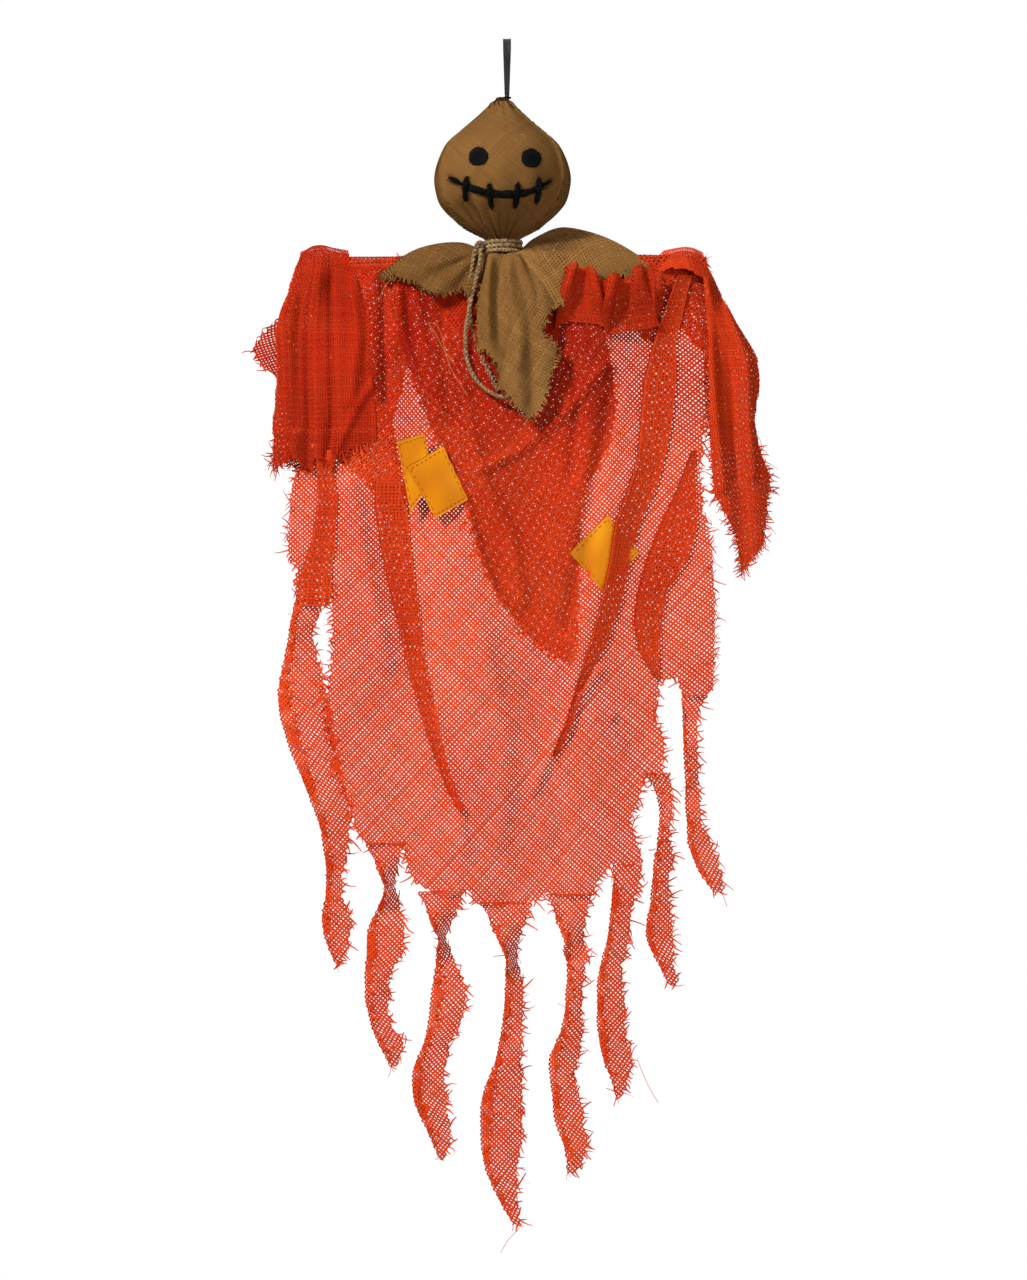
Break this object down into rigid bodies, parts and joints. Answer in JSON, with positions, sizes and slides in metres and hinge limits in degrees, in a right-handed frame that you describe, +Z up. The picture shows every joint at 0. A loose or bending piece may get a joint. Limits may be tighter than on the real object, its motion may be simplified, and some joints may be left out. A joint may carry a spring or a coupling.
{
  "type": "hanging scarecrow figure",
  "caption": "Hanging scarecrow figure: a stitched burlap sack head on a ribbon loop, twine-tied collar, and a torn orange-red gauze robe over a crossbar, ending in ragged swinging tails.",
  "frame": {"origin": "top of the ribbon loop that the figure hangs by", "axes": "+Z up along the loop, the face looks along -Y, +X to the right as seen from the front"},
  "size_m": [0.416, 0.1111, 0.95],
  "materials": {
    "burlap": "matte",
    "gauze": "matte",
    "satin": "satin",
    "felt": "matte",
    "yarn": "matte",
    "ribbon": "satin",
    "thread": "matte",
    "jute": "matte",
    "dowel": "matte",
    "wadding": "matte"
  },
  "bodies": {
    "loop": {"hanging_loop": "ribbon"},
    "knot": {"loop_knot": "ribbon"},
    "eyelet": {"tip_eyelet": "thread"},
    "head": {"tip_stitches": "thread", "face_panel": "burlap", "back_panel": "burlap", "head_core": "wadding", "eye_left": "felt", "eye_right": "felt", "mouth_line": "yarn", "mouth_stitches": "yarn"},
    "torso": {"neck_stick": "dowel", "crossbar": "dowel", "cross_lashing": "jute", "neck_tie": "jute", "tie_knot": "jute", "twine_loop": "jute", "twine_end": "jute", "collar_left": "burlap", "collar_right": "burlap", "collar_back": "burlap", "robe_front": "gauze", "robe_back": "gauze", "sleeve_left_back": "gauze", "sleeve_right_back": "gauze", "patch_left_under": "satin", "patch_left_over": "satin", "patch_right": "satin"},
    "flap": {"collar_flap": "burlap"},
    "sleeve_left": {"sleeve_left": "gauze"},
    "sleeve_right": {"sleeve_right": "gauze"},
    "strip_1": {"strip_1": "gauze"},
    "strip_2": {"strip_2": "gauze"},
    "strip_3": {"strip_3": "gauze"},
    "strip_4": {"strip_4": "gauze"},
    "strip_5": {"strip_5": "gauze"},
    "strip_6": {"strip_6": "gauze"},
    "strip_7": {"strip_7": "gauze"},
    "strip_8": {"strip_8": "gauze"}
  },
  "joints": [
    {"name": "loop_turn", "type": "hinge", "parent": "loop", "child": "knot", "pos_m": [0, 0, -0.047], "axis": [0, 0, 1], "range_deg": [-180, 180]},
    {"name": "swing_side", "type": "hinge", "parent": "knot", "child": "eyelet", "pos_m": [0, 0, -0.047], "axis": [0, 1, 0], "range_deg": [-35, 35]},
    {"name": "swing_fore_aft", "type": "hinge", "parent": "eyelet", "child": "head", "pos_m": [0, 0, -0.047], "axis": [1, 0, 0], "range_deg": [-35, 35]},
    {"name": "head_turn", "type": "hinge", "parent": "head", "child": "torso", "pos_m": [-0.004, 0, -0.167], "axis": [0, 0, 1], "range_deg": [-45, 45]},
    {"name": "flap_lift", "type": "hinge", "parent": "torso", "child": "flap", "pos_m": [-0.002, -0.0167, -0.1745], "axis": [-1, 0, 0], "range_deg": [0, 60]},
    {"name": "sleeve_left_swing", "type": "hinge", "parent": "torso", "child": "sleeve_left", "pos_m": [-0.16, 0.0082, -0.1795], "axis": [-1, 0, 0], "range_deg": [0, 50]},
    {"name": "sleeve_right_swing", "type": "hinge", "parent": "torso", "child": "sleeve_right", "pos_m": [0.16, 0.0082, -0.1795], "axis": [-1, 0, 0], "range_deg": [0, 50]},
    {"name": "strip_1_swing", "type": "hinge", "parent": "torso", "child": "strip_1", "pos_m": [-0.1505, 0.0029, -0.435], "axis": [1, 0, 0], "range_deg": [-30, 30]},
    {"name": "strip_2_swing", "type": "hinge", "parent": "torso", "child": "strip_2", "pos_m": [-0.0985, 0.0029, -0.6405], "axis": [1, 0, 0], "range_deg": [-30, 30]},
    {"name": "strip_3_swing", "type": "hinge", "parent": "torso", "child": "strip_3", "pos_m": [-0.0535, 0.0029, -0.681], "axis": [1, 0, 0], "range_deg": [-30, 30]},
    {"name": "strip_4_swing", "type": "hinge", "parent": "torso", "child": "strip_4", "pos_m": [-0.001, 0.0029, -0.69], "axis": [1, 0, 0], "range_deg": [-30, 30]},
    {"name": "strip_5_swing", "type": "hinge", "parent": "torso", "child": "strip_5", "pos_m": [0.048, 0.0029, -0.684], "axis": [1, 0, 0], "range_deg": [-30, 30]},
    {"name": "strip_6_swing", "type": "hinge", "parent": "torso", "child": "strip_6", "pos_m": [0.095, 0.0029, -0.6605], "axis": [1, 0, 0], "range_deg": [-30, 30]},
    {"name": "strip_7_swing", "type": "hinge", "parent": "torso", "child": "strip_7", "pos_m": [0.126, 0.0029, -0.623], "axis": [1, 0, 0], "range_deg": [-30, 30]},
    {"name": "strip_8_swing", "type": "hinge", "parent": "torso", "child": "strip_8", "pos_m": [0.155, 0.0029, -0.526], "axis": [1, 0, 0], "range_deg": [-30, 30]}
  ]
}
